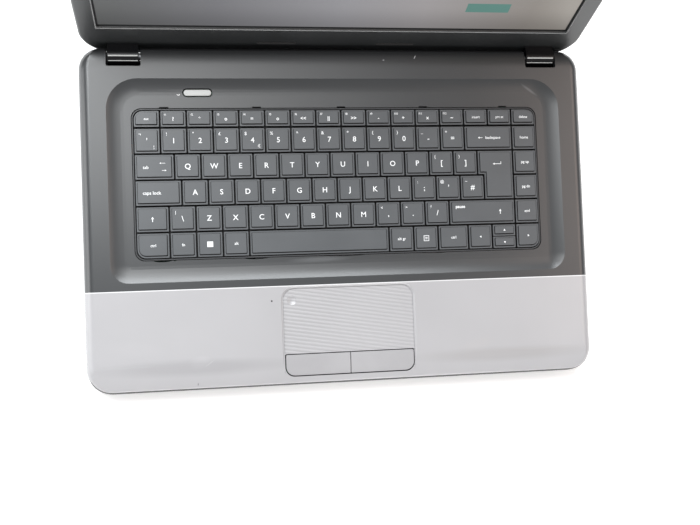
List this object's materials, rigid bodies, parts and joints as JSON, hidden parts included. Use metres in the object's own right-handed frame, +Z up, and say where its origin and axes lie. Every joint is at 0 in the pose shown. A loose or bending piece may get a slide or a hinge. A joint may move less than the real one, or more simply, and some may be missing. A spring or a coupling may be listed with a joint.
{
  "type": "laptop computer",
  "caption": "Used clamshell laptop with the lid open, tile keyboard, ridged touchpad, disc drive and side sockets; scuffed palm rest and keyboard edge.",
  "frame": {"origin": "on the surface under the feet, under the middle of the whole open laptop's bounding box", "axes": "+X to the user's right, +Y from the palm rest towards the hinges, +Z up"},
  "size_m": [0.374, 0.3336, 0.2444],
  "materials": {
    "case_plastic": "fine grained black ABS",
    "cover_plastic": "satin film over ABS, dark grey round the keys and silver grey on the palm rest",
    "rubber": "matt moulded rubber",
    "steel": "zinc plated and stamped steel",
    "keyboard_tray": "black painted aluminium",
    "scissor_plastic": "natural moulded acetal",
    "key_plastic": "lightly worn matt ABS",
    "power_silver": "silver painted plastic",
    "circuit_board": "green solder mask",
    "pad_button_plastic": "satin silver grey ABS",
    "copper": "bare copper",
    "black_plastic": "moulded black plastic",
    "drive_aluminium": "cast aluminium and plated sheet",
    "video_blue": "blue moulded insert with a plated shell",
    "lid_plastic": "satin dark grey ABS",
    "bezel_plastic": "matt black ABS",
    "hinge_gloss": "glossy black ABS",
    "screen_glow": "lit matt screen"
  },
  "bodies": {
    "base": {"bottom_case": "case_plastic", "top_cover": "cover_plastic", "rubber_feet": "rubber", "case_screws": "steel", "service_cover": "case_plastic", "battery_pack": "case_plastic", "keyboard_plate": "keyboard_tray", "keyboard_membrane": "keyboard_tray", "key_scissors": "scissor_plastic", "keyboard_frame": "keyboard_tray", "keyboard_clips": "keyboard_tray", "power_button_board": "circuit_board", "touchpad_board": "circuit_board", "touchpad_button_board": "circuit_board", "mainboard": "circuit_board", "side_board": "circuit_board", "processor": "circuit_board", "heat_sink": "copper", "fan_housing": "black_plastic", "memory_modules": "circuit_board", "hard_drive": "drive_aluminium", "hard_drive_bracket": "steel", "wireless_card": "circuit_board", "clock_cell": "steel", "optical_drive": "steel", "speakers": "black_plastic", "usb_sockets": "steel", "network_socket": "black_plastic", "video_socket": "video_blue", "display_socket": "steel", "audio_sockets": "black_plastic", "power_socket": "black_plastic", "card_slot": "steel", "hinge_brackets": "steel"},
    "lid": {"lid_cover": "lid_plastic", "screen_bezel": "bezel_plastic", "display_panel": "drive_aluminium", "screen_face": "screen_glow", "hinge_arms": "steel", "hinge_covers": "hinge_gloss", "webcam_module": "circuit_board", "screen_cable": "black_plastic", "bezel_bumpers": "rubber"},
    "power_button": {"power_button": "power_silver"},
    "touchpad_button_left": {"touchpad_button_left": "pad_button_plastic"},
    "touchpad_button_right": {"touchpad_button_right": "pad_button_plastic"},
    "fan_rotor": {"fan_rotor": "black_plastic"},
    "disc_tray": {"disc_tray": "black_plastic"},
    "disc_spindle": {"disc_spindle": "steel"},
    "tray_button": {"tray_button": "black_plastic"},
    "battery_latch": {"battery_latch": "case_plastic"},
    "function_row": {"keys_function_row": "key_plastic"},
    "number_row": {"keys_number_row": "key_plastic"},
    "upper_row": {"keys_upper_row": "key_plastic"},
    "home_row": {"keys_home_row": "key_plastic"},
    "lower_row": {"keys_lower_row": "key_plastic"},
    "bottom_row": {"keys_bottom_row": "key_plastic"},
    "space_bar": {"space_bar": "key_plastic"},
    "enter_key": {"enter_key": "key_plastic"},
    "arrow_keys": {"arrow_keys": "key_plastic"}
  },
  "joints": [
    {"name": "lid_hinge", "type": "hinge", "parent": "base", "child": "lid", "pos_m": [0, 0.07318, 0.02], "axis": [-1, 0, 0], "range_deg": [-109, 21]},
    {"name": "function_row_press", "type": "slide", "parent": "base", "child": "function_row", "axis": [0, 0, -1], "range_m": [0, 0.002], "stiffness_N_per_m": 1920, "springref_m": -0.0015},
    {"name": "number_row_press", "type": "slide", "parent": "base", "child": "number_row", "axis": [0, 0, -1], "range_m": [0, 0.002], "stiffness_N_per_m": 1800, "springref_m": -0.0015},
    {"name": "upper_row_press", "type": "slide", "parent": "base", "child": "upper_row", "axis": [0, 0, -1], "range_m": [0, 0.002], "stiffness_N_per_m": 1680, "springref_m": -0.0015},
    {"name": "home_row_press", "type": "slide", "parent": "base", "child": "home_row", "axis": [0, 0, -1], "range_m": [0, 0.002], "stiffness_N_per_m": 1680, "springref_m": -0.0015},
    {"name": "lower_row_press", "type": "slide", "parent": "base", "child": "lower_row", "axis": [0, 0, -1], "range_m": [0, 0.002], "stiffness_N_per_m": 1680, "springref_m": -0.0015},
    {"name": "bottom_row_press", "type": "slide", "parent": "base", "child": "bottom_row", "axis": [0, 0, -1], "range_m": [0, 0.002], "stiffness_N_per_m": 840, "springref_m": -0.0015},
    {"name": "space_bar_press", "type": "slide", "parent": "base", "child": "space_bar", "axis": [0, 0, -1], "range_m": [0, 0.002], "stiffness_N_per_m": 120, "springref_m": -0.0015},
    {"name": "enter_key_press", "type": "slide", "parent": "base", "child": "enter_key", "axis": [0, 0, -1], "range_m": [0, 0.002], "stiffness_N_per_m": 120, "springref_m": -0.0015},
    {"name": "arrow_keys_press", "type": "slide", "parent": "base", "child": "arrow_keys", "axis": [0, 0, -1], "range_m": [0, 0.002], "stiffness_N_per_m": 480, "springref_m": -0.0015},
    {"name": "power_button_press", "type": "slide", "parent": "base", "child": "power_button", "axis": [0, 0, -1], "range_m": [0, 0.0008], "stiffness_N_per_m": 400, "springref_m": -0.001},
    {"name": "touchpad_button_left_press", "type": "slide", "parent": "base", "child": "touchpad_button_left", "axis": [0, 0, -1], "range_m": [0, 0.0008], "stiffness_N_per_m": 400, "springref_m": -0.001},
    {"name": "touchpad_button_right_press", "type": "slide", "parent": "base", "child": "touchpad_button_right", "axis": [0, 0, -1], "range_m": [0, 0.0008], "stiffness_N_per_m": 400, "springref_m": -0.001},
    {"name": "fan_spin", "type": "hinge", "parent": "base", "child": "fan_rotor", "pos_m": [-0.141, 0.02818, 0.0084], "axis": [0, 0, 1], "continuous": true},
    {"name": "tray_slide", "type": "slide", "parent": "base", "child": "disc_tray", "axis": [1, 0, 0], "range_m": [0, 0.11]},
    {"name": "spindle_spin", "type": "hinge", "parent": "disc_tray", "child": "disc_spindle", "pos_m": [0.118, -0.06232, 0.0104], "axis": [0, 0, 1], "continuous": true},
    {"name": "tray_button_press", "type": "slide", "parent": "disc_tray", "child": "tray_button", "axis": [-1, 0, 0], "range_m": [0, 0.0008], "stiffness_N_per_m": 300, "springref_m": -0.001},
    {"name": "latch_slide", "type": "slide", "parent": "base", "child": "battery_latch", "axis": [1, 0, 0], "range_m": [0, 0.007], "stiffness_N_per_m": 120, "springref_m": -0.004}
  ]
}
